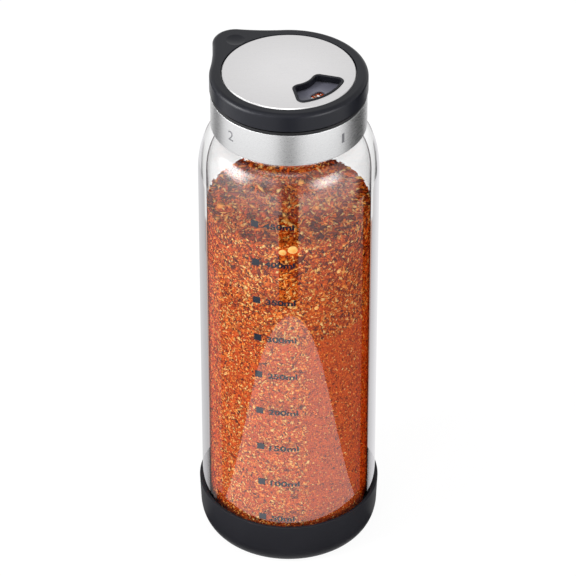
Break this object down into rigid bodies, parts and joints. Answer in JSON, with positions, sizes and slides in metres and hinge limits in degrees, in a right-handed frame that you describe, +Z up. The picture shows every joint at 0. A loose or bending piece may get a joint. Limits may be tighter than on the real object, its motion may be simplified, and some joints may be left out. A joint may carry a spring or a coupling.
{
  "type": "spice shaker jar",
  "caption": "Tall glass spice jar with a rubber boot, a screw-on steel-banded lid and a turning cap that picks between a pour slot and sprinkle holes.",
  "frame": {"origin": "on the jar's axis, at the foot ring of the rubber boot", "axes": "+Z up the jar's axis; -Y is the front, where the graduations are; the pour place is at the front right and the sprinkle place at the front left"},
  "size_m": [0.0693, 0.0692, 0.2059],
  "materials": {
    "boot_rubber": "matt moulded silicone",
    "clear_glass": "clear, polished",
    "chili_flakes": "dry flakes and seeds",
    "gasket_silicone": "soft moulded silicone",
    "black_plastic": "fine moulded",
    "band_steel": "brushed round the band",
    "sifter_plastic": "smooth moulded",
    "cap_plastic": "fine moulded, matt",
    "disc_steel": "fine satin",
    "plain_steel": "plain stainless"
  },
  "bodies": {
    "jar": {"base_boot": "boot_rubber", "jar_glass": "clear_glass", "spice_fill": "chili_flakes"},
    "riser": {"rim_gasket": "gasket_silicone"},
    "lid": {"lid_core": "black_plastic", "lid_band": "band_steel", "sifter_plate": "sifter_plastic"},
    "cap": {"turn_cap": "cap_plastic", "cap_disc": "disc_steel", "window_seal": "gasket_silicone", "pivot_screw": "plain_steel", "flat_washer": "plain_steel", "wave_washer": "plain_steel"}
  },
  "joints": [
    {"name": "lid_rise", "type": "slide", "parent": "jar", "child": "riser", "axis": [0, 0, 1], "range_m": [0, 0.012]},
    {"name": "lid_turn", "type": "hinge", "parent": "riser", "child": "lid", "pos_m": [0, 0, 0.19], "axis": [0, 0, 1], "range_deg": [0, 1080]},
    {"name": "cap_turn", "type": "hinge", "parent": "lid", "child": "cap", "pos_m": [0, 0, 0.2], "axis": [0, 0, 1], "continuous": true}
  ],
  "couplings": [
    {"joint": "lid_rise", "follows": "lid_turn", "m_per_rad": 0.0006366}
  ]
}
